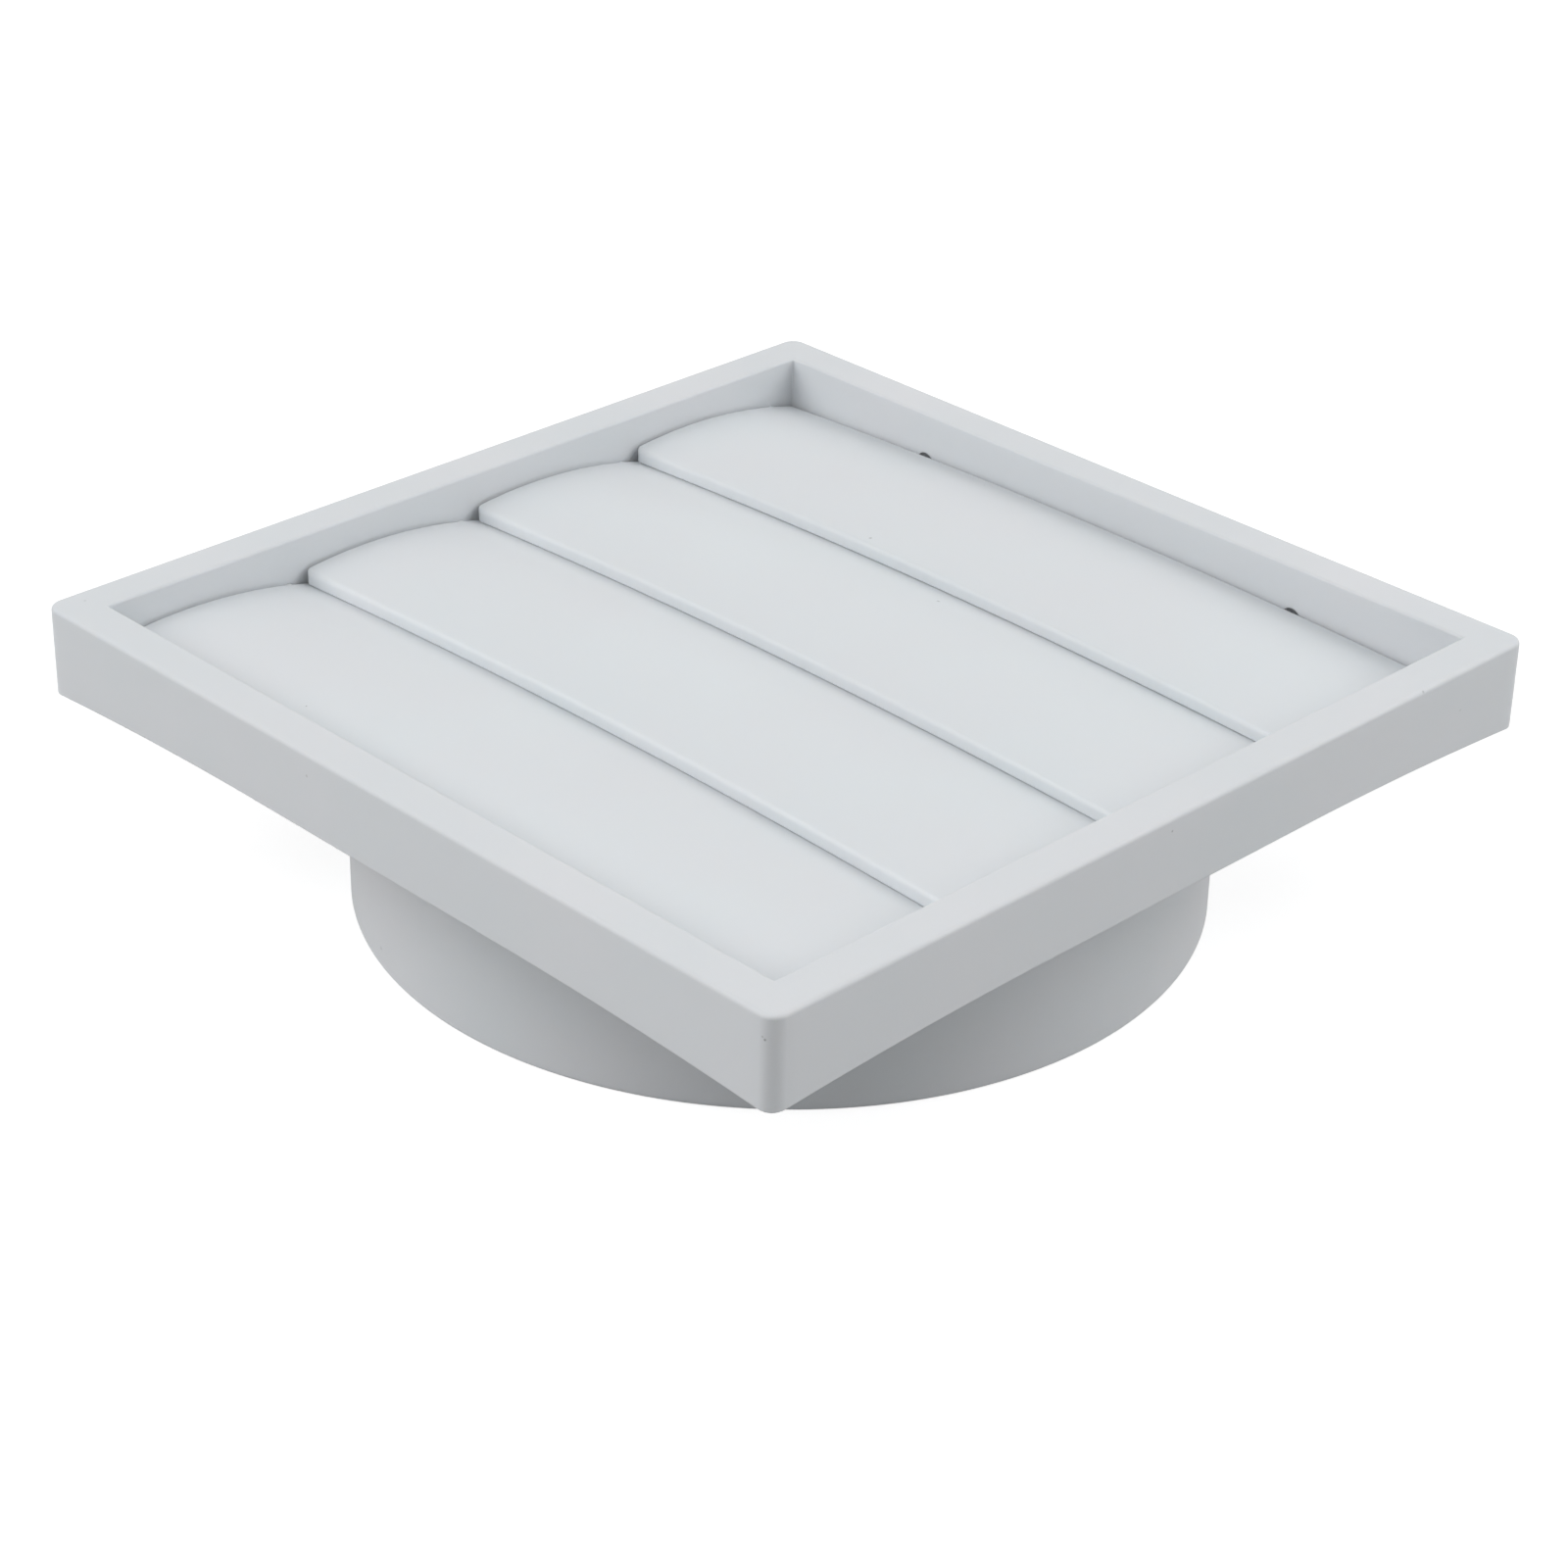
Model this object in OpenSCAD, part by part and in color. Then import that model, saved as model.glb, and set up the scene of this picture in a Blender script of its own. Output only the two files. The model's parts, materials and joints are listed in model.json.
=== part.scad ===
// Square exhaust vent cover: one moulded frame with a round spigot behind it, and
// curved, slightly crowned gravity flaps that turn on stub pins in its side walls.
// It stands on the spigot's end with its face up. X runs along the flaps, +Y is the
// side that is uppermost once the cover is on a wall, and +Z points out of the face.

/* [Frame] */
// Side of the square face
face_size = 178; // [165:1:220]
// Depth from the face to the end of the spigot
total_depth = 49.5; // [35:0.5:110]
// Width of the rim, seen from the front
rim_width = 7.7; // [6:0.1:10]
// Thickness of the rim's outer skin, inner wall and face
skin = 2; // [1.5:0.1:2.4]
// Thickness of the back plate
plate_thickness = 1.5; // [1.2:0.1:3]
// How much deeper the rim is at its corners than in the middle of a side
corner_drop = 2.15; // [0.25:0.05:3]
// Length at each end of a side over which the rim gets deeper
corner_run = 58; // [20:1:75]
// Radius of the upright outer corners
corner_radius = 2.9; // [1:0.1:4]
// Radius along the outer edges of the face
edge_radius = 0.8; // [0.2:0.05:1]
// Radius along the face's edges round the pocket
pocket_edge_radius = 0.5; // [0.1:0.05:0.6]
// Thickness of the ribs inside the hollow rim
rib_thickness = 1.2; // [0.8:0.1:2]
// Ribs inside each side of the hollow rim
ribs_per_side = 5; // [1:1:8]

/* [Spigot] */
// Outside diameter of the spigot
spigot_diameter = 150; // [100:1:155]
// Wall thickness of the spigot
spigot_wall = 2; // [1.5:0.1:4]
// Chamfer that leads the spigot's end into the duct
spigot_lead = 0.8; // [0.3:0.1:1.2]

/* [Flaps] */
// Depth of a flap's crest below the face, at the flap's ends
crest_depth = 5.6; // [4:0.05:12]
// Distance from a flap's free edge to its crest
crest_run = 13; // [9:0.5:17]
// Radius of the flap's curved outer side
flap_radius = 104; // [95:1:130]
// Thickness of a flap
flap_thickness = 1.8; // [1.4:0.1:2]
// How much higher the middle of a flap's length is than its ends
flap_rise = 2; // [0.2:0.1:2.2]
// Width of the lip turned down along the free edge
lip_width = 2; // [1.8:0.1:3]
// Radius along the top of the lip
lip_radius = 1; // [0.4:0.1:1]
// Radius of a flap's free corners, seen from the front
flap_corner = 1.8; // [0.8:0.1:3]
// How far a flap's tail reaches under the flap above it
tail_overlap = 2.4; // [2:0.1:3]

/* [Pins] */
// Diameter of the stub pins
pin_diameter = 2; // [1.8:0.1:2.2]
// Length of pin inside the side wall
pin_reach = 1.7; // [1:0.1:1.8]
// Length over which a pin's root runs along the flap
pin_root = 4; // [2:0.5:8]
// Flap material that covers a pin's root
pin_cover = 0.05; // [0.02:0.01:0.2]

/* [Clearances] */
// Gap between a flap's end and the side wall
end_gap = 0.6; // [0.4:0.05:1]
// Gap between the top flap's tail and the top wall
top_gap = 0.6; // [0.4:0.05:1.2]
// Gap under a closed lip
closing_gap = 0.2; // [0.15:0.05:0.4]
// Gap between a swinging tail and the back plate
swing_gap = 0.3; // [0.2:0.05:1]
// Distance from a pin's side forward of the lip above it
pin_lead = 2.2; // [1.8:0.1:3]
// Radial play of a pin in its hole
pin_play = 0.06; // [0.03:0.01:0.1]

/* [Weather sill] */
// Distance from the bottom wall to the lowest flap's free edge
sill_distance = 1.6; // [1.6:0.1:6]
// Thickness of the sill that the lowest lip closes on
sill_thickness = 1.8; // [1.2:0.1:2]
// How far the sill stands in front of the lowest lip's back
sill_inset = 0.3; // [0:0.1:0.5]

/* [Holes in the top wall] */
// Diameter of the holes
top_hole_diameter = 4.2; // [3:0.1:5.4]
// Distance between the two holes
top_hole_spacing = 89.8; // [70:0.1:95]
// Depth of the holes' centres below the face
top_hole_depth = 10.1; // [9:0.1:12.1]

/* [Hidden] */
$fn = 96;
arc_fn = 1440;
bow_fn = 2400;
flap_count = 4;
weld = 0.2;
hair = 0.01;
frame_colour = [0.80, 0.82, 0.84];
flap_colour = [0.86, 0.88, 0.89];

pocket = face_size - 2 * rim_width;
pitch = (pocket - top_gap - sill_distance - tail_overlap) / flap_count;
flap_length = pitch + tail_overlap;
flap_width = pocket - 2 * end_gap;
pin_radius = pin_diameter / 2;

// Height of a flap's outer side below the face, at a distance from its free edge
function crown_height(run) = sqrt(pow(flap_radius, 2) - pow(run - crest_run, 2)) - flap_radius - crest_depth;

arc_centre = -crest_depth - flap_radius;
lip_bottom = crown_height(pitch) + closing_gap;
pivot_run = pitch - pin_radius - pin_lead;
pin_arc = flap_radius - pin_radius - pin_cover;
pivot_height = arc_centre + sqrt(pow(pin_arc, 2) - pow(pivot_run - crest_run, 2));

// A point on a circle about the centre of a flap's arc
function arc_point(radius, angle) = [crest_run + radius * cos(angle), arc_centre + radius * sin(angle)];

// The square end of a flap's tail, and how far it swings from the pins
tail_angle = acos((flap_length - crest_run) / flap_radius);
tail_corners = [for (depth = [0, flap_thickness]) arc_point(flap_radius - depth, tail_angle)];
tail_reach = max([for (corner = tail_corners) norm(corner - [pivot_run, pivot_height])]);

// Height of the centre of the round nose along a flap's free edge
nose_height = arc_centre + sqrt(pow(flap_radius - lip_radius, 2) - pow(lip_radius - crest_run, 2));

// The circle along which a flap is crowned, in its length
bow_radius = (pow(flap_width / 2, 2) + pow(flap_rise, 2)) / (2 * flap_rise);
bow_centre = flap_rise - crest_depth - bow_radius;
bow_angle = asin((flap_width / 2 + 1) / bow_radius);

plate_front = pivot_height - tail_reach - swing_gap;
plate_back = plate_front - plate_thickness;
rim_depth = -plate_back - corner_drop;
spigot_radius = spigot_diameter / 2;
spigot_bore = spigot_radius - spigot_wall;
spigot_length = total_depth + plate_back;

inner_wall_face = pocket / 2 + skin;
outer_skin_face = face_size / 2 - skin;
rib_pitch = 2 * inner_wall_face / (ribs_per_side + 1);
arch_radius = (pow(corner_run, 2) + pow(corner_drop, 2)) / (2 * corner_drop);
first_edge = sill_distance - pocket / 2;

// A block's section: square below and rounded along its two top edges
module crowned_section(width, height, radius) {
    translate([-width / 2, 0]) square([width, height - radius]);
    translate([radius - width / 2, 0]) square([width - 2 * radius, height]);
    for (side = [-1, 1])
        translate([side * (width / 2 - radius), height - radius]) circle(radius);
}

// Half of the section of an upright corner post, for turning round its axis
module post_section(width, height, radius) {
    square([width, height - radius]);
    square([width - radius, height]);
    translate([width - radius, height - radius]) circle(radius);
}

// The outer form of the rim, with rounded corners and rounded face edges
module rim_block() {
    straight = face_size - 2 * corner_radius;
    height = -plate_back;
    translate([0, 0, plate_back]) {
        for (turn = [0, 90])
            rotate([90, 0, turn])
                translate([0, 0, -straight / 2])
                    linear_extrude(straight) crowned_section(face_size, height, edge_radius);
        for (x = [-1, 1], y = [-1, 1])
            translate([x * straight / 2, y * straight / 2, 0])
                rotate_extrude() post_section(corner_radius, height, edge_radius);
    }
}

// A slot's section that opens out along its top edges with a radius
module flared_section(width, height, radius) {
    translate([-width / 2, 0]) square([width, height + 1]);
    difference() {
        translate([-width / 2 - radius, height - radius]) square([width + 2 * radius, radius + 1]);
        for (side = [-1, 1])
            translate([side * (width / 2 + radius), height - radius]) circle(radius);
    }
}

// The pocket that the flaps lie in
module flap_pocket() {
    translate([0, 0, plate_front])
        intersection_for (turn = [0, 90])
            rotate([90, 0, turn])
                translate([0, 0, -face_size / 2])
                    linear_extrude(face_size) flared_section(pocket, -plate_front, pocket_edge_radius);
}

// The channel that hollows the rim out from behind
module rim_channel() {
    translate([0, 0, plate_back - 1])
        linear_extrude(-plate_back + 1 - skin)
            difference() {
                square(2 * outer_skin_face, center = true);
                square(2 * inner_wall_face, center = true);
            }
}

// What is taken off the back of one side, so that only its corners reach the wall
module side_arch() {
    flat = face_size / 2 - corner_run;
    translate([0, inner_wall_face, 0])
        rotate([-90, 0, 0])
            linear_extrude(rim_width)
                intersection() {
                    union() {
                        translate([-flat, rim_depth]) square([2 * flat, 2 * corner_drop]);
                        for (side = [-1, 1])
                            translate([side * flat, rim_depth + arch_radius]) circle(arch_radius, $fn = arc_fn);
                    }
                    translate([-face_size / 2 - 1, rim_depth - 1]) square([face_size + 2, 2 * corner_drop + 1]);
                }
}

// The ribs across the channel of one side
module side_ribs() {
    depth = rim_depth - skin;
    for (i = [1 : ribs_per_side])
        translate([i * rib_pitch - inner_wall_face - rib_thickness / 2, inner_wall_face - weld, -depth])
            cube([rib_thickness, outer_skin_face - inner_wall_face + 2 * weld, depth - skin + weld]);
}

// The tube that goes into the duct
module spigot() {
    translate([0, 0, -total_depth])
        rotate_extrude($fn = 360)
            polygon([
                [spigot_bore, 0],
                [spigot_radius - spigot_lead, 0],
                [spigot_radius, spigot_lead],
                [spigot_radius, spigot_length + weld],
                [spigot_bore, spigot_length + weld]
            ]);
}

// The upright sill that the lowest flap closes on, crowned like the flap
module weather_sill() {
    front = first_edge + lip_width - sill_inset;
    intersection() {
        translate([-pocket / 2 - weld, front - sill_thickness, plate_front - weld])
            cube([pocket + 2 * weld, sill_thickness, -plate_front]);
        translate([0, front + 1, bow_centre])
            rotate([90, 0, 0])
                cylinder(h = sill_thickness + 2, r = flap_rise - bow_centre + lip_bottom - closing_gap, $fn = bow_fn);
    }
}

// The holes in the side walls that the pins turn in
module pin_holes() {
    for (i = [0 : flap_count - 1])
        translate([0, first_edge + i * pitch + pivot_run, pivot_height])
            rotate([0, 90, 0]) cylinder(h = 2 * inner_wall_face + 1, r = pin_radius + pin_play, center = true);
}

// The two round holes low in the top wall
module top_holes() {
    for (side = [-1, 1])
        translate([side * top_hole_spacing / 2, pocket / 2 - 1, -top_hole_depth])
            rotate([-90, 0, 0]) cylinder(h = skin + 2, d = top_hole_diameter);
}

module frame() {
    color(frame_colour)
        translate([0, 0, total_depth])
            difference() {
                union() {
                    difference() {
                        rim_block();
                        flap_pocket();
                        rim_channel();
                        for (turn = [0 : 90 : 270])
                            rotate([0, 0, turn]) side_arch();
                    }
                    for (turn = [0 : 90 : 270])
                        rotate([0, 0, turn]) side_ribs();
                    weather_sill();
                    spigot();
                }
                translate([0, 0, -total_depth - 1])
                    cylinder(h = total_depth + plate_front + 1.5, r = spigot_bore, $fn = 360);
                pin_holes();
                top_holes();
            }
}

// Room under a flap's sheet for what its lip closes on: the tail of the next flap or the sill
module tail_relief() {
    translate([-1, plate_front]) square([lip_width + 1, lip_bottom - plate_front]);
    intersection() {
        translate([crest_run - pitch, arc_centre]) circle(flap_radius + closing_gap / 2, $fn = arc_fn);
        translate([0, plate_front]) square([tail_overlap + closing_gap, -plate_front]);
    }
}

// A flap's section, with its free edge at the origin and the face at height 0
module flap_section() {
    difference() {
        intersection() {
            translate([crest_run, arc_centre])
                difference() {
                    circle(flap_radius, $fn = arc_fn);
                    circle(flap_radius - flap_thickness, $fn = arc_fn);
                }
            polygon([
                [lip_radius, arc_centre],
                [crest_run, arc_centre],
                arc_point(2 * flap_radius, tail_angle),
                [lip_radius, arc_centre + 2 * flap_radius]
            ]);
        }
        tail_relief();
    }
    difference() {
        translate([lip_radius, nose_height]) circle(lip_radius);
        tail_relief();
    }
    translate([0, lip_bottom]) square([lip_width, nose_height - lip_bottom]);
}

// What is taken off a flap's free corner to round it, from the front
module corner_cut() {
    translate([flap_width / 2 - flap_corner + hair, flap_corner - hair])
        difference() {
            translate([0, -flap_corner - 1]) square(flap_corner + 1);
            circle(flap_corner);
        }
}

// The crowned sheet with its lip, a little longer than the flap at both ends
module flap_sheet() {
    translate([0, 0, bow_centre])
        rotate([90, -90, 0])
            rotate([0, 0, -bow_angle])
                rotate_extrude(angle = 2 * bow_angle, $fn = bow_fn)
                    translate([flap_rise - bow_centre, 0])
                        rotate(-90) flap_section();
}

module flap(number) {
    color(flap_colour)
        translate([0, first_edge + (number - 1) * pitch, total_depth]) {
            difference() {
                intersection() {
                    flap_sheet();
                    translate([-flap_width / 2, -1, plate_front])
                        cube([flap_width, flap_length + 2, -plate_front]);
                }
                for (side = [0, 1])
                    translate([0, 0, lip_bottom - 1])
                        mirror([side, 0, 0])
                            linear_extrude(-lip_bottom) corner_cut();
            }
            for (side = [-1, 1])
                translate([side * (flap_width / 2 - pin_root), pivot_run, pivot_height])
                    rotate([0, side * 90, 0]) cylinder(h = pin_root + end_gap + pin_reach, r = pin_radius);
        }
}

module flap_1() { flap(1); }
module flap_2() { flap(2); }
module flap_3() { flap(3); }
module flap_4() { flap(4); }

frame();
flap_1();
flap_2();
flap_3();
flap_4();
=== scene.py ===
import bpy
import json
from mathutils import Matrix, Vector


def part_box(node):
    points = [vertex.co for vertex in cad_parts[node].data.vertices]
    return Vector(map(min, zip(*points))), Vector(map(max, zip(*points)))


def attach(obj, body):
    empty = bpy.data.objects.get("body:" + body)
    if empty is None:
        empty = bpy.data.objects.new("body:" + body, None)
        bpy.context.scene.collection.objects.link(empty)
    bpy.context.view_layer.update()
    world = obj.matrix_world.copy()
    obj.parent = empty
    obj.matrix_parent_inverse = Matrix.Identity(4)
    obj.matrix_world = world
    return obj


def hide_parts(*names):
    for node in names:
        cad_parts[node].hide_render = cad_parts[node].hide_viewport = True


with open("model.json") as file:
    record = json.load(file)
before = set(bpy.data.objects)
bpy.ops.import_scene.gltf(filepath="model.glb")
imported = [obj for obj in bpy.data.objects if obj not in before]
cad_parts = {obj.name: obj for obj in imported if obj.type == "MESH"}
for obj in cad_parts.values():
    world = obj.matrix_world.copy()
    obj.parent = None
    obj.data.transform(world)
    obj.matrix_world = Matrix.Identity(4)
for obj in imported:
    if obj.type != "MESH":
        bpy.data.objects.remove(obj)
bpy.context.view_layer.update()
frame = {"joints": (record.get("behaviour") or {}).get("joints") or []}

import json
import math
import bmesh
import bpy
import numpy as np
from mathutils import Matrix, Vector

mm = 0.001
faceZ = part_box("frame")[1][2]
hinges = sorted(frame["joints"], key=lambda joint: joint["pos_m"][1])


def linear(red, green, blue):
    # Display values from 0 to 255 as the linear colour that shows them.
    values = np.array([red, green, blue]) / 255
    curved = ((values + 0.055) / 1.055) ** 2.4
    return tuple(np.where(values <= 0.04045, values / 12.92, curved).tolist())


# The camera, solved from the straight edges of the photograph
view = dict(
    place=(413.718 * mm, -410.567 * mm, 340.951 * mm),
    azimuth=45.18,
    elevation=28.996,
    roll=1.262,
    lens=88.08,
    sensor=36,
)


def placeCamera():
    az, el, roll = (math.radians(view[angle]) for angle in ("azimuth", "elevation", "roll"))
    backward = np.array([math.sin(az) * math.cos(el), -math.cos(az) * math.cos(el), math.sin(el)])
    sideways = np.array([math.cos(az), math.sin(az), 0])
    upward = np.cross(backward, sideways)
    matrix = np.eye(4)
    matrix[:3, 0] = math.cos(roll) * sideways + math.sin(roll) * upward
    matrix[:3, 1] = math.cos(roll) * upward - math.sin(roll) * sideways
    matrix[:3, 2] = backward
    matrix[:3, 3] = view["place"]
    data = bpy.data.cameras.new("camera")
    data.lens = view["lens"]
    data.sensor_width = view["sensor"]
    data.clip_start = 0.01
    camera = bpy.data.objects.new("camera", data)
    bpy.context.scene.collection.objects.link(camera)
    camera.matrix_world = Matrix(matrix.tolist())
    bpy.context.scene.camera = camera


placeCamera()
print("camera placed")


def roundedLine(corners, radii, steps, support):
    # Follows straight lines between corners; each corner of radius r becomes an arc
    # tangent to both lines, with one more point a little way out on each line.
    count = len(corners)
    points, tags = [], []
    for i in range(count):
        here = np.array(corners[i][:2], float)
        before = np.array(corners[i - 1][:2], float) - here
        after = np.array(corners[(i + 1) % count][:2], float) - here
        before /= np.linalg.norm(before)
        after /= np.linalg.norm(after)
        half = 0.5 * math.acos(max(-1, min(1, float(before @ after))))
        reach = radii[i] / math.tan(half)
        middle = before + after
        centre = here + middle / np.linalg.norm(middle) * radii[i] / math.sin(half)
        start = here + before * reach - centre
        side = np.sign(after[0] * before[1] - after[1] * before[0])
        angles = np.linspace(0, math.pi - 2 * half, steps[i] + 1) * side
        arc = centre + np.stack([start[0] * np.cos(angles) - start[1] * np.sin(angles),
                                 start[0] * np.sin(angles) + start[1] * np.cos(angles)], axis=1)
        ends = [[here + before * (reach + support)], arc, [here + after * (reach + support)]]
        points.append(np.vstack(ends))
        tags += [corners[i][2]] * (steps[i] + 3)
    return np.vstack(points), np.array(tags)


def squareLoop(halfSize, radius, sideSteps, cornerSteps):
    # A square with round corners, walked anticlockwise: along each side, then round its corner.
    along = np.linspace(-1, 1, sideSteps + 1)
    bend = np.linspace(0, math.pi / 2, cornerSteps + 1)[1:-1]
    straight = (halfSize - radius)[:, None]
    x = np.hstack([halfSize[:, None] + 0 * along, straight + radius[:, None] * np.cos(bend)])
    y = np.hstack([straight * along, straight + radius[:, None] * np.sin(bend)])
    return np.hstack([x, -y, -x, y]), np.hstack([y, x, -y, -x])


def gridFaces(rows, columns, closeRows=True):
    # Quads between neighbouring points of a grid whose rows are closed loops.
    i = np.arange(rows if closeRows else rows - 1)[:, None]
    j = np.arange(columns)[None, :]
    iNext, jNext = (i + 1) % rows, (j + 1) % columns
    corners = [i * columns + j, i * columns + jNext, iNext * columns + jNext, iNext * columns + j]
    full = [np.broadcast_to(corner, (i.size, j.size)) for corner in corners]
    return np.stack(full, axis=-1).reshape(-1, 4)


def gathered(parts):
    # Several closed shapes, each with its points, quads and caps, as the numbers of one mesh.
    points, faces, caps, start = [], [], [], 0
    for more, moreFaces, moreCaps in parts:
        points.append(more)
        faces.append(moreFaces + start)
        caps += [[i + start for i in cap] for cap in moreCaps]
        start += len(more)
    return np.vstack(points), np.vstack(faces), caps


def meshObject(name, points, faces, caps=()):
    # A closed mesh from quads and the loops that close its ends, with its faces turned outwards.
    mesh = bpy.data.meshes.new(name)
    mesh.from_pydata(points.tolist(), [], faces.tolist() + [list(cap) for cap in caps])
    work = bmesh.new()
    work.from_mesh(mesh)
    bmesh.ops.recalc_face_normals(work, faces=work.faces[:])
    work.to_mesh(mesh)
    work.free()
    piece = bpy.data.objects.new(name, mesh)
    bpy.context.scene.collection.objects.link(piece)
    return piece


def joinAndCut(piece, added=None, removed=None):
    # Joins one object to a piece and cuts another out of it, then keeps the result as plain mesh.
    for tool, operation in ((added, "UNION"), (removed, "DIFFERENCE")):
        if tool is None:
            continue
        step = piece.modifiers.new(operation.lower(), "BOOLEAN")
        step.operation = operation
        step.solver = "EXACT"
        step.object = tool
    bpy.context.view_layer.update()
    evaluated = piece.evaluated_get(bpy.context.evaluated_depsgraph_get())
    done = bpy.data.meshes.new_from_object(evaluated)
    piece.modifiers.clear()
    piece.data = done
    for tool in (added, removed):
        if tool is not None:
            bpy.data.objects.remove(tool)


def finishPiece(piece, node, material):
    # Smooth shading except at true edges, one material, and the place of the node it stands for.
    piece.data.shade_smooth()
    piece.data.set_sharp_from_angle(angle=math.radians(sharpAngle))
    piece.data.materials.clear()
    piece.data.materials.append(material)
    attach(piece, node)
    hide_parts(node)


def prisms(outlines, lows, highs, axis):
    # Closed bars of constant outline along one axis: each outline is a loop in the other two axes.
    bars = []
    for outline, low, high in zip(outlines, lows, highs):
        steps = len(outline)
        ends = [np.insert(outline, axis, place, axis=1) for place in (low, high)]
        caps = [range(steps), range(2 * steps - 1, steps - 1, -1)]
        bars.append((np.vstack(ends), gridFaces(2, steps, closeRows=False), caps))
    return gathered(bars)


def circle(centre, radius, steps):
    turn = np.linspace(0, 2 * math.pi, steps, endpoint=False)
    return np.array(centre) + radius * np.stack([np.cos(turn), np.sin(turn)], axis=1)


# The moulded frame. Sizes across are halves, and depths are measured back from the face.
rim = dict(
    half=89 * mm,
    width=7.7 * mm,          # width of the rim seen from the front
    skin=2 * mm,             # wall thickness round the hollow rim
    depth=14.584 * mm,       # depth in the middle of a side
    cornerDrop=2.15 * mm,    # how much deeper the corners are
    cornerRun=58 * mm,       # length of the deeper stretch at each end
    plateFront=15.234 * mm,
    plateBack=16.734 * mm,
    cornerRadius=2.9 * mm,   # upright outer corners
    faceRadius=0.8 * mm,     # outer edges of the face
    pocketRadius=0.5 * mm,   # edges of the face round the flaps
    backRadius=0.3 * mm,     # edges at the back
    pocketCorner=0.3 * mm,   # upright inner corners
    sideSteps=72,            # grid steps along one side
    cornerSteps=8,           # grid steps round one corner
    support=0.25 * mm,       # how far out the loops lie that hold the edges crisp
    tolerance=0.001 * mm,    # for comparing sizes
)
spigot = dict(radius=75 * mm, wall=2 * mm, lead=0.8 * mm, root=0.6 * mm)
ribs = dict(count=5, thickness=1.2 * mm, inset=2 * mm, weld=0.2 * mm)
sill = dict(
    front=-78 * mm,
    thickness=1.8 * mm,
    top=9.033 * mm,          # depth of its top edge at both ends
    radius=0.3 * mm,         # both edges of its top
    bendSteps=5,
    footRadius=0.05 * mm,    # its foot is sunk in the back plate
    footSteps=1,
    support=0.1 * mm,
    steps=24,                # grid steps along the sill
)
holePast = 0.3 * mm          # how far the tools that cut holes reach past a wall
pinHoles = dict(radius=1.06 * mm, steps=40)
topHoles = dict(radius=2.1 * mm, spacing=89.8 * mm, depth=10.1 * mm, steps=64)
crown = dict(rise=2 * mm, half=80.7 * mm)  # how the flaps bulge along their length
sharpAngle = 32              # degrees between two faces from which an edge stays sharp


def crownLift(x):
    # Height of an arc through zero at both ends of a flap and the full rise in its middle.
    radius = (crown["half"] ** 2 + crown["rise"] ** 2) / (2 * crown["rise"])
    return np.sqrt(radius ** 2 - x ** 2) - radius + crown["rise"]


# The frame's section is one closed line of half sizes and depths. It is carried round a
# square on the rim and round a circle on the spigot, and the back plate joins the two.
# The rim's back edge follows an arc tangent to its flat middle stretch.
def frameShell():
    square, arched, ring = 0, 1, 2
    inner, outer = rim["half"] - rim["width"], rim["half"] - rim["skin"]
    wall, bore, end = inner + rim["skin"], spigot["radius"] - spigot["wall"], faceZ
    small, count = rim["backRadius"], rim["sideSteps"]
    section = [
        (outer, -rim["depth"], arched, small, 4),
        (rim["half"], -rim["depth"], arched, small, 4),
        (rim["half"], 0, square, rim["faceRadius"], 6),
        (inner, 0, square, rim["pocketRadius"], 5),
        (inner, -rim["plateFront"], square, small, 4),
        (bore, -rim["plateFront"], ring, small, 4),
        (bore, -end, ring, small, 4),
        (spigot["radius"], -end, ring, spigot["lead"], 6),
        (spigot["radius"], -rim["plateBack"], ring, spigot["root"], 5),
        (wall, -rim["plateBack"], square, small, 4),
        (wall, -rim["skin"], square, small, 3),
        (outer, -rim["skin"], square, small, 3),
    ]
    line, kinds = roundedLine([corner[:3] for corner in section], [corner[3] for corner in section],
                              [corner[4] for corner in section], rim["support"])
    size, depth = line[:, 0], line[:, 1]
    outerBend = np.maximum(rim["cornerRadius"] - (rim["half"] - size), rim["pocketCorner"])
    bend = np.where(size > outer + rim["tolerance"], outerBend, rim["pocketCorner"])
    x, y = squareLoop(size, bend, rim["sideSteps"], rim["cornerSteps"])
    columns = x.shape[1]
    # both loops start at a corner's end, so the circle starts half a side before +X
    turn = 2 * math.pi / columns * (np.arange(columns) - count / 2)
    onRing = (kinds == ring)[:, None]
    x = np.where(onRing, size[:, None] * np.cos(turn), x)
    y = np.where(onRing, size[:, None] * np.sin(turn), y)
    along = np.minimum(np.abs(x), np.abs(y))
    arcRadius = (rim["cornerRun"] ** 2 + rim["cornerDrop"] ** 2) / (2 * rim["cornerDrop"])
    past = np.maximum(along - (rim["half"] - rim["cornerRun"]), 0)
    drop = np.where((kinds == arched)[:, None], arcRadius - np.sqrt(arcRadius ** 2 - past ** 2), 0)
    z = faceZ + depth[:, None] - drop
    return np.stack([x, y, z], axis=-1).reshape(-1, 3), gridFaces(len(size), columns)


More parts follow.
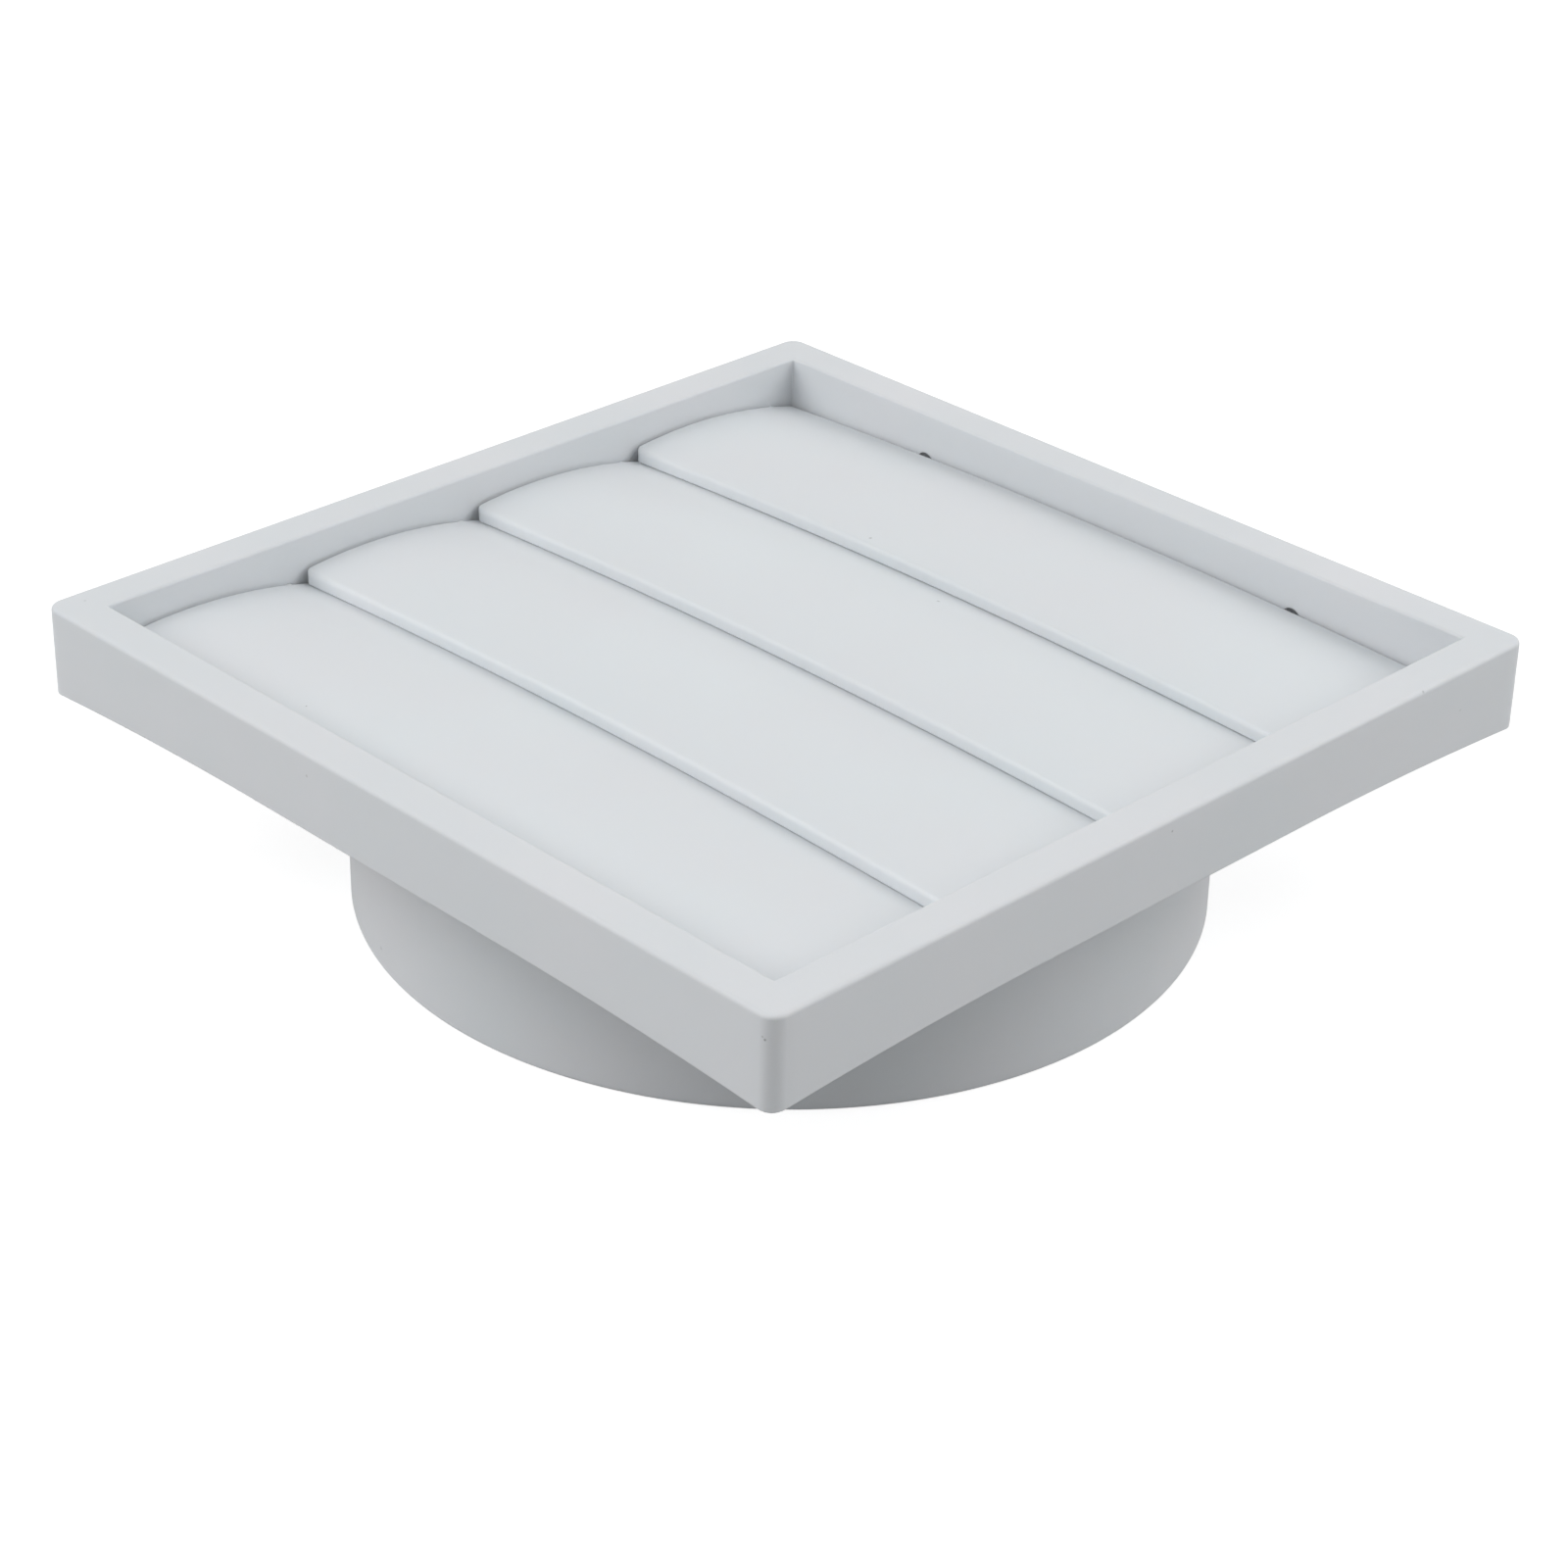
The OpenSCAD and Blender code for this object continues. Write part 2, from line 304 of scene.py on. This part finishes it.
def frameAdditions():
    # Ribs across the hollow rim, and the crowned sill that the lowest flap closes on.
    inner, outer = rim["half"] - rim["width"], rim["half"] - rim["skin"]
    wall, weld, half = inner + rim["skin"], ribs["weld"], ribs["thickness"] / 2
    low, high = faceZ - rim["depth"] + ribs["inset"], faceZ - rim["skin"] + weld
    upright = np.array([[-half, low], [half, low], [half, high], [-half, high]])
    pitch = 2 * wall / (ribs["count"] + 1)
    places = np.arange(1, ribs["count"] + 1) * pitch - wall
    outlines = [upright + [place, 0] for place in places] * 2
    lows = [wall - weld] * len(places) + [-outer - weld] * len(places)
    highs = [outer + weld] * len(places) + [-wall + weld] * len(places)
    alongX = prisms(outlines, lows, highs, 0)
    alongY = prisms(outlines, lows, highs, 1)
    back, foot = sill["front"] - sill["thickness"], faceZ - rim["plateFront"] - weld
    corners = [(back, foot, 0), (sill["front"], foot, 0), (sill["front"], faceZ - sill["top"], 0),
               (back, faceZ - sill["top"], 0)]
    plain, soft = (sill["footRadius"], sill["footSteps"]), (sill["radius"], sill["bendSteps"])
    radii, bends = zip(plain, plain, soft, soft)
    outline, _ = roundedLine(corners, radii, bends, sill["support"])
    x = np.linspace(-inner - weld, inner + weld, sill["steps"] + 1)
    share = (outline[:, 1] - foot) / (faceZ - sill["top"] - foot)
    z = outline[:, 1] + np.maximum(crownLift(x), 0)[:, None] * share
    sillGrid = np.stack([x[:, None] + 0 * z, outline[:, 0] + 0 * z, z], axis=-1)
    sides, last = len(outline), sill["steps"] * len(outline)
    sillBar = (sillGrid.reshape(-1, 3), gridFaces(len(x), sides, closeRows=False),
               [range(sides), range(last + sides - 1, last - 1, -1)])
    return meshObject("frameRibs", *gathered([alongX, alongY, sillBar]))


def frameHoles():
    # The pins' holes through both inner side walls, and the two holes low in the top wall.
    inner, past = rim["half"] - rim["width"], holePast
    wall = inner + rim["skin"]
    rounds = [circle(joint["pos_m"][1:], pinHoles["radius"], pinHoles["steps"])
              for joint in hinges]
    lows = [inner - past] * len(rounds) + [-wall - past] * len(rounds)
    highs = [wall + past] * len(rounds) + [-inner + past] * len(rounds)
    across = prisms(rounds * 2, lows, highs, 0)
    centres = [(side * topHoles["spacing"] / 2, faceZ - topHoles["depth"]) for side in (-1, 1)]
    tops = [circle(centre, topHoles["radius"], topHoles["steps"]) for centre in centres]
    through = prisms(tops, [inner - past] * 2, [wall + past] * 2, 1)
    return meshObject("frameHoles", *gathered([across, through]))


def frameMoulding(material):
    points, faces = frameShell()
    piece = meshObject("frameMoulding", points, faces)
    joinAndCut(piece, frameAdditions(), frameHoles())
    finishPiece(piece, "frame", material)
    return piece


# One flap. Runs are measured from its free edge towards the pins, depths back from the face.
flap = dict(
    halfWidth=80.7 * mm,
    length=41.9 * mm,
    thickness=1.8 * mm,
    crestRun=13 * mm,
    crestDepth=5.6 * mm,     # at the flap's ends
    radius=104 * mm,         # of the bowed outer side
    lipWidth=2.0 * mm,
    lipBottom=8.93 * mm,
    noseRadius=1.0 * mm,     # along the top of the lip
    lipRadius=0.08 * mm,     # along the bottom of the lip
    tailRadius=0.45 * mm,    # along both edges of the tail
    cornerRadius=1.6 * mm,   # free corners, seen from the front
    endRadius=0.2 * mm,      # round the flap's two ends
    endRun=4 * mm,           # last stretch at both ends, outside the even steps along the flap
    cornerRun=2.5 * mm,      # stretch over which the free corners are cut back
    steps=56,                # points along the bow
    lengthSteps=24,          # even steps along the flap
    noseSteps=9,
    tailSteps=5,
    bendSteps=4,             # steps round every small edge
)
pin = dict(
    radius=1.0 * mm,
    run=36.3 * mm,           # from the flap's free edge
    reach=2.3 * mm,          # past the flap's end
    root=4 * mm,             # inside the flap
    tip=0.25 * mm,           # radius round its end
    steps=40,
    bendSteps=4,
)


def arcPoints(middle, radius, start, end, steps):
    angle = np.linspace(start, end, steps + 1)
    return middle + radius * np.stack([np.cos(angle), np.sin(angle)], axis=1)


# A flap's section: the arc of the outer radius from the nose to the tail, the tail's square
# end with rounded edges, the arc of the inner radius, and the lip turned down at the free edge.
def flapSection():
    centre = np.array([flap["crestRun"], -flap["crestDepth"] - flap["radius"]])
    outer, inner = flap["radius"], flap["radius"] - flap["thickness"]

    def onArc(radius, angle):
        return centre + radius * np.array([math.cos(angle), math.sin(angle)])

    nose, small, bend = flap["noseRadius"], flap["lipRadius"], flap["bendSteps"]
    bottom, width = -flap["lipBottom"], flap["lipWidth"]
    noseAngle = math.acos((nose - centre[0]) / (outer - nose))
    tailAngle = math.acos((flap["length"] - centre[0]) / outer)
    tailEnd = tailAngle - math.pi / 2
    # the tail's edges are rounded by circles that touch one arc and the radial end
    edge = flap["tailRadius"]
    upper = tailAngle + math.asin(edge / (outer - edge))
    lower = tailAngle + math.asin(edge / (inner + edge))
    inside = math.acos((width + small - centre[0]) / (inner - small))
    return np.vstack([
        arcPoints(onArc(outer - nose, noseAngle), nose, math.pi, noseAngle, flap["noseSteps"]),
        arcPoints(centre, outer, noseAngle, upper, flap["steps"] - 1)[1:],
        arcPoints(onArc(outer - edge, upper), edge, upper, tailEnd, flap["tailSteps"])[1:],
        arcPoints(onArc(inner + edge, lower), edge, tailEnd, lower - math.pi, flap["tailSteps"]),
        arcPoints(centre, inner, lower, inside, flap["steps"] - 1)[1:],
        arcPoints(onArc(inner - small, inside), small, inside, math.pi, bend)[1:],
        arcPoints(np.array([width - small, bottom + small]), small, 0, -math.pi / 2, bend),
        arcPoints(np.array([small, bottom + small]), small, -math.pi / 2, -math.pi, bend),
    ])


def flapPoints(section):
    # The section is carried along X and lifted by the crown. At both ends it is drawn in by
    # a quarter round, and its free corners are cut back to a radius seen from the front.
    tangent = np.roll(section, -1, axis=0) - np.roll(section, 1, axis=0)
    inward = np.stack([tangent[:, 1], -tangent[:, 0]], axis=1)
    inward /= np.linalg.norm(tangent, axis=1)[:, None]
    bend = np.linspace(0, math.pi / 2, flap["bendSteps"] + 1)
    reach, end = flap["halfWidth"], flap["endRadius"]
    endX = reach - end + end * np.sin(bend)
    endInset = end * (1 - np.cos(bend))
    middle = np.linspace(-1, 1, flap["lengthSteps"] + 1) * (reach - flap["endRun"])
    near = reach - flap["cornerRun"]
    x = np.hstack([-endX[::-1], [-near], middle, [near], endX])
    inset = np.hstack([endInset[::-1], np.zeros(len(middle) + 2), endInset])
    outline = section[None] + inward[None] * inset[:, None, None]
    radius = flap["cornerRadius"]
    back = np.clip(radius - outline[:, :, 0], 0, radius)
    cut = radius - np.sqrt(radius ** 2 - back ** 2)
    # the cut fades out over the last stretch of the flap
    share = np.clip((np.abs(x) - near) / (reach - end - near), 0, 1)[:, None]
    xs = x[:, None] - np.sign(x)[:, None] * cut * share
    return np.stack([xs, outline[:, :, 0], outline[:, :, 1] + crownLift(xs)], axis=-1)


def pinRings(side):
    # A stub pin is a profile turned about X, with a rounded tip and its root inside the flap.
    bend = np.linspace(0, math.pi / 2, pin["bendSteps"] + 1)
    root, end = flap["halfWidth"] - pin["root"], flap["halfWidth"] + pin["reach"]
    along = np.hstack([[root], end - pin["tip"] * (1 - np.sin(bend))])
    out = np.hstack([[pin["radius"]], pin["radius"] - pin["tip"] * (1 - np.cos(bend))])
    turn = np.linspace(0, 2 * math.pi, pin["steps"], endpoint=False)
    x = np.broadcast_to(side * along[:, None], (len(along), pin["steps"]))
    return np.stack([x, out[:, None] * np.cos(turn), out[:, None] * np.sin(turn)], axis=-1)


def flapPins(number, joint):
    pins, steps = [], pin["steps"]
    for side in (-1, 1):
        rings = pinRings(side)
        points = rings.reshape(-1, 3) + np.array(joint["pos_m"]) * [0, 1, 1]
        caps = [range(steps), range(len(points) - steps, len(points))]
        pins.append((points, gridFaces(len(rings), steps, closeRows=False), caps))
    return meshObject("flapPins%d" % number, *gathered(pins))


def flapMoulding(number, joint, material):
    grid = flapPoints(flapSection())
    rows, columns = grid.shape[:2]
    points = grid.reshape(-1, 3) + [0, joint["pos_m"][1] - pin["run"], faceZ]
    caps = [range(columns), range((rows - 1) * columns, rows * columns)]
    faces = gridFaces(rows, columns, closeRows=False)
    piece = meshObject("flapMoulding%d" % number, points, faces, caps)
    joinAndCut(piece, flapPins(number, joint))
    finishPiece(piece, "flap_%d" % number, material)
    return piece


def newGroup(name, inputs, outputs):
    # A shader node group with named sockets: (name, kind, default) in, (name, kind) out.
    group = bpy.data.node_groups.new(name, "ShaderNodeTree")
    for label, kind, default in inputs:
        socket = group.interface.new_socket(label, in_out="INPUT", socket_type="NodeSocket" + kind)
        if default is not None:
            socket.default_value = default
    for label, kind in outputs:
        group.interface.new_socket(label, in_out="OUTPUT", socket_type="NodeSocket" + kind)
    return group, group.nodes.new("NodeGroupInput"), group.nodes.new("NodeGroupOutput")


def addNode(tree, kind, values=None, **settings):
    # One node with its settings and the values of its unlinked sockets.
    node = tree.nodes.new("ShaderNode" + kind)
    for key, value in settings.items():
        setattr(node, key, value)
    for key, value in (values or {}).items():
        node.inputs[key].default_value = value
    return node


def grainGroup():
    # The fine matt grain of the mould, as a height: two sizes of soft noise added up.
    group, given, result = newGroup(
        "mouldGrain",
        [("Place", "Vector", None), ("Grain Size", "Float", 0.0005), ("Waviness", "Float", 0.3)],
        [("Height", "Float")])
    link = group.links.new
    scale = addNode(group, "Math", {0: 1.0}, operation="DIVIDE")
    link(given.outputs["Grain Size"], scale.inputs[1])
    fine = addNode(group, "TexNoise", {"Detail": 2.0, "Roughness": 0.6})
    link(given.outputs["Place"], fine.inputs["Vector"])
    link(scale.outputs[0], fine.inputs["Scale"])
    broad = addNode(group, "TexNoise", {"Scale": 70.0, "Detail": 1.0})
    link(given.outputs["Place"], broad.inputs["Vector"])
    add = addNode(group, "Math", operation="MULTIPLY_ADD")
    link(broad.outputs["Fac"], add.inputs[0])
    link(given.outputs["Waviness"], add.inputs[1])
    link(fine.outputs["Fac"], add.inputs[2])
    link(add.outputs[0], result.inputs["Height"])
    return group


def tintGroup():
    # A faint drift between two tones of the same plastic, over a few centimetres.
    group, given, result = newGroup(
        "tintDrift",
        [("Place", "Vector", None), ("Tone", "Color", None), ("Other Tone", "Color", None),
         ("Patch Size", "Float", 0.04)],
        [("Color", "Color"), ("Mask", "Float")])
    link = group.links.new
    scale = addNode(group, "Math", {0: 1.0}, operation="DIVIDE")
    link(given.outputs["Patch Size"], scale.inputs[1])
    noise = addNode(group, "TexNoise", {"Detail": 3.0, "Roughness": 0.55})
    link(given.outputs["Place"], noise.inputs["Vector"])
    link(scale.outputs[0], noise.inputs["Scale"])
    spread = addNode(group, "MapRange", {"From Min": 0.35, "From Max": 0.65})
    link(noise.outputs["Fac"], spread.inputs["Value"])
    mix = addNode(group, "Mix", data_type="RGBA")
    link(spread.outputs["Result"], mix.inputs["Factor"])
    link(given.outputs["Tone"], mix.inputs["A"])
    link(given.outputs["Other Tone"], mix.inputs["B"])
    link(mix.outputs["Result"], result.inputs["Color"])
    link(spread.outputs["Result"], result.inputs["Mask"])
    return group


def fleckGroup():
    # Sparse pigment flecks: small balls about scattered points, seen where a surface cuts one.
    group, given, result = newGroup(
        "pigmentFlecks",
        [("Place", "Vector", None), ("Spacing", "Float", 0.015), ("Radius", "Float", 0.0002)],
        [("Mask", "Float")])
    link = group.links.new
    scale = addNode(group, "Math", {0: 1.0}, operation="DIVIDE")
    link(given.outputs["Spacing"], scale.inputs[1])
    cells = addNode(group, "TexVoronoi", {"Randomness": 1.0}, feature="F1")
    link(given.outputs["Place"], cells.inputs["Vector"])
    link(scale.outputs[0], cells.inputs["Scale"])
    distance = addNode(group, "Math", operation="MULTIPLY")
    link(cells.outputs["Distance"], distance.inputs[0])
    link(given.outputs["Spacing"], distance.inputs[1])
    fade = addNode(group, "MapRange", {"To Min": 1.0, "To Max": 0.0},
                   interpolation_type="SMOOTHSTEP")
    link(distance.outputs[0], fade.inputs["Value"])
    link(given.outputs["Radius"], fade.inputs["From Max"])
    link(fade.outputs["Result"], result.inputs["Mask"])
    return group


def speckGroup():
    # One small speck at a chosen place on the surface, as strong as it is given.
    group, given, result = newGroup(
        "placedSpeck",
        [("Place", "Vector", None), ("Centre", "Vector", None), ("Radius", "Float", 0.0003),
         ("Strength", "Float", 0.5), ("Before", "Float", 0.0)],
        [("Mask", "Float")])
    link = group.links.new
    distance = addNode(group, "VectorMath", operation="DISTANCE")
    link(given.outputs["Place"], distance.inputs[0])
    link(given.outputs["Centre"], distance.inputs[1])
    fade = addNode(group, "MapRange", {"To Max": 0.0}, interpolation_type="SMOOTHSTEP")
    link(distance.outputs["Value"], fade.inputs["Value"])
    link(given.outputs["Radius"], fade.inputs["From Max"])
    link(given.outputs["Strength"], fade.inputs["To Min"])
    most = addNode(group, "Math", operation="MAXIMUM")
    link(fade.outputs["Result"], most.inputs[0])
    link(given.outputs["Before"], most.inputs[1])
    link(most.outputs[0], result.inputs["Mask"])
    return group


# The two finishes. Tones are display colours, and each speck is (x, y, z, radius, strength),
# with its place and radius in millimetres.
frameFinish = dict(
    tone=(216, 218, 221),
    otherTone=(214, 218, 221),
    speckTone=(120, 122, 122),
    roughness=(0.46, 0.54),
    grain=0.35 * mm,
    depth=0.012 * mm,
    specks=[
        (-17.4, -89, 45.4, 0.4, 0.35),
        (87.2, -88.8, 45.3, 0.33, 0.8),
        (86.8, -88.9, 45.7, 0.3, 0.4),
        (88.8, 60.6, 49.2, 0.4, 0.5),
        (89, 71.7, 41.9, 0.35, 0.25),
        (89, -2.7, 47.1, 0.33, 0.6),
        (-22.2, -71.6, 4.0, 0.5, 0.35),
        (-85.4, -83.2, 49.5, 0.4, 0.25),
    ],
)
flapFinish = dict(
    tone=(216, 221, 224),
    otherTone=(218, 221, 224),
    speckTone=(130, 132, 132),
    roughness=(0.44, 0.52),
    grain=0.3 * mm,
    depth=0.01 * mm,
    specks=[(4.1, 33.6, 43.7, 0.5, 0.6), (-19.8, 40.8, 45.2, 0.45, 0.5)],
)
scatter = dict(weight=0.15, radius=(1.0, 0.85, 0.7), scale=1.2 * mm)
flecks = dict(spacing=14 * mm, radius=0.22 * mm)
groups = dict(grain=grainGroup(), tint=tintGroup(), fleck=fleckGroup(), speck=speckGroup())


def plasticMaterial(name, finish):
    # Matt moulded plastic: a drifting tone, sparse flecks, the placed specks, and fine grain.
    material = bpy.data.materials.new(name)
    material.use_nodes = True
    tree = material.node_tree
    link = tree.links.new
    shader = tree.nodes["Principled BSDF"]
    place = addNode(tree, "TexCoord").outputs["Object"]

    def useGroup(kind, values):
        node = addNode(tree, "Group", node_tree=groups[kind])
        for key, value in values.items():
            node.inputs[key].default_value = value
        link(place, node.inputs["Place"])
        return node

    tone, otherTone, speckTone = ((*linear(*finish[key]), 1)
                                  for key in ("tone", "otherTone", "speckTone"))
    tint = useGroup("tint", {"Tone": tone, "Other Tone": otherTone})
    sparse = useGroup("fleck", {"Spacing": flecks["spacing"], "Radius": flecks["radius"]})
    mask = sparse.outputs["Mask"]
    for x, y, z, radius, strength in finish["specks"]:
        speck = useGroup("speck", {"Centre": (x * mm, y * mm, z * mm), "Radius": radius * mm,
                                   "Strength": strength})
        link(mask, speck.inputs["Before"])
        mask = speck.outputs["Mask"]
    colour = addNode(tree, "Mix", data_type="RGBA")
    colour.inputs["B"].default_value = speckTone
    link(mask, colour.inputs["Factor"])
    link(tint.outputs["Color"], colour.inputs["A"])
    link(colour.outputs["Result"], shader.inputs["Base Color"])
    low, high = finish["roughness"]
    rough = addNode(tree, "MapRange", {"To Min": low, "To Max": high})
    link(tint.outputs["Mask"], rough.inputs["Value"])
    link(rough.outputs["Result"], shader.inputs["Roughness"])
    grain = useGroup("grain", {"Grain Size": finish["grain"]})
    bump = addNode(tree, "Bump", {"Strength": 1.0, "Distance": finish["depth"]})
    link(grain.outputs["Height"], bump.inputs["Height"])
    link(bump.outputs["Normal"], shader.inputs["Normal"])
    shader.inputs["Subsurface Weight"].default_value = scatter["weight"]
    shader.inputs["Subsurface Radius"].default_value = scatter["radius"]
    shader.inputs["Subsurface Scale"].default_value = scatter["scale"]
    return material


frameMaterial = plasticMaterial("frameAbs", frameFinish)
flapMaterial = plasticMaterial("flapAbs", flapFinish)
print("plastics mixed")
body = frameMoulding(frameMaterial)
print("frame moulded, faces:", len(body.data.polygons))
for number, joint in enumerate(hinges, start=1):
    shutter = flapMoulding(number, joint, flapMaterial)
print("flaps moulded, faces:", len(shutter.data.polygons))

# The stage: a pale floor, a white surround, and soft lamps round the cover. The two main
# lamps hang to the left and to the right of the camera, so the near corner stays darkest.
stage = dict(floorTone=0.4, floorRoughness=0.9, floorSeen=0.8, floorSize=3.0, surround=1.0)
lampAim = 30 * mm            # height of the point that all the lamps face
lamps = [
    # name, azimuth from +X, elevation, distance, size, watts
    ("leftMain", -120, 40, 1.2, 1.0, 10.2),
    ("leftLow", -120, 15, 1.2, 0.7, 0.4),
    ("nearHigh", -60, 40, 1.2, 1.0, 3.1),
    ("rightMain", 30, 40, 1.2, 1.0, 4.9),
    ("rightFar", 60, 40, 1.2, 1.0, 4.2),
    ("rightLow", 30, 15, 1.2, 0.7, 1.9),
    ("backHigh", 120, 30, 1.2, 0.8, 1.2),
    ("backLow", 150, 15, 1.2, 0.7, 0.6),
]


def seenDirectly(tree):
    # 1 for the camera's rays and for those that glossy or clear pieces send out, otherwise 0.
    rays = addNode(tree, "LightPath")
    total = rays.outputs["Is Camera Ray"]
    for kind in ("Is Glossy Ray", "Is Transmission Ray"):
        most = addNode(tree, "Math", operation="MAXIMUM")
        tree.links.new(total, most.inputs[0])
        tree.links.new(rays.outputs[kind], most.inputs[1])
        total = most.outputs[0]
    return total


def layFloor():
    # A pale sheet under the cover that glows only where it is seen, and keeps the shadow.
    size = stage["floorSize"]
    corners = [(-size, -size, 0), (size, -size, 0), (size, size, 0), (-size, size, 0)]
    mesh = bpy.data.meshes.new("floor")
    mesh.from_pydata(corners, [], [(0, 1, 2, 3)])
    floor = bpy.data.objects.new("floor", mesh)
    bpy.context.scene.collection.objects.link(floor)
    material = bpy.data.materials.new("floorPaper")
    material.use_nodes = True
    tree = material.node_tree
    shader = tree.nodes["Principled BSDF"]
    shader.inputs["Base Color"].default_value = (*[stage["floorTone"]] * 3, 1)
    shader.inputs["Roughness"].default_value = stage["floorRoughness"]
    shader.inputs["Specular IOR Level"].default_value = 0.0
    shader.inputs["Emission Color"].default_value = (1, 1, 1, 1)
    glow = addNode(tree, "MapRange", {"To Max": stage["floorSeen"]})
    tree.links.new(seenDirectly(tree), glow.inputs["Value"])
    tree.links.new(glow.outputs["Result"], shader.inputs["Emission Strength"])
    mesh.materials.append(material)


def lightWorld():
    # White where it is seen or mirrored, and otherwise no light on the cover.
    world = bpy.data.worlds.new("studio")
    bpy.context.scene.world = world
    world.use_nodes = True
    tree = world.node_tree
    background = tree.nodes["Background"]
    background.inputs["Color"].default_value = (1, 1, 1, 1)
    strength = addNode(tree, "MapRange", {"To Max": stage["surround"]})
    tree.links.new(seenDirectly(tree), strength.inputs["Value"])
    tree.links.new(strength.outputs["Result"], background.inputs["Strength"])


def hangLamp(name, azimuth, elevation, distance, size, watts):
    # A square soft box that faces the middle of the cover from the given direction.
    lamp = bpy.data.lights.new(name, "AREA")
    lamp.size = size
    lamp.energy = watts
    holder = bpy.data.objects.new(name, lamp)
    bpy.context.scene.collection.objects.link(holder)
    az, el = math.radians(azimuth), math.radians(elevation)
    away = Vector((math.cos(az) * math.cos(el), math.sin(az) * math.cos(el), math.sin(el)))
    holder.rotation_euler = (-away).to_track_quat("-Z", "Y").to_euler()
    holder.location = away * distance + Vector((0, 0, lampAim))


layFloor()
lightWorld()
for lampValues in lamps:
    hangLamp(*lampValues)
bpy.context.scene.view_settings.view_transform = "Standard"
print("stage lit")
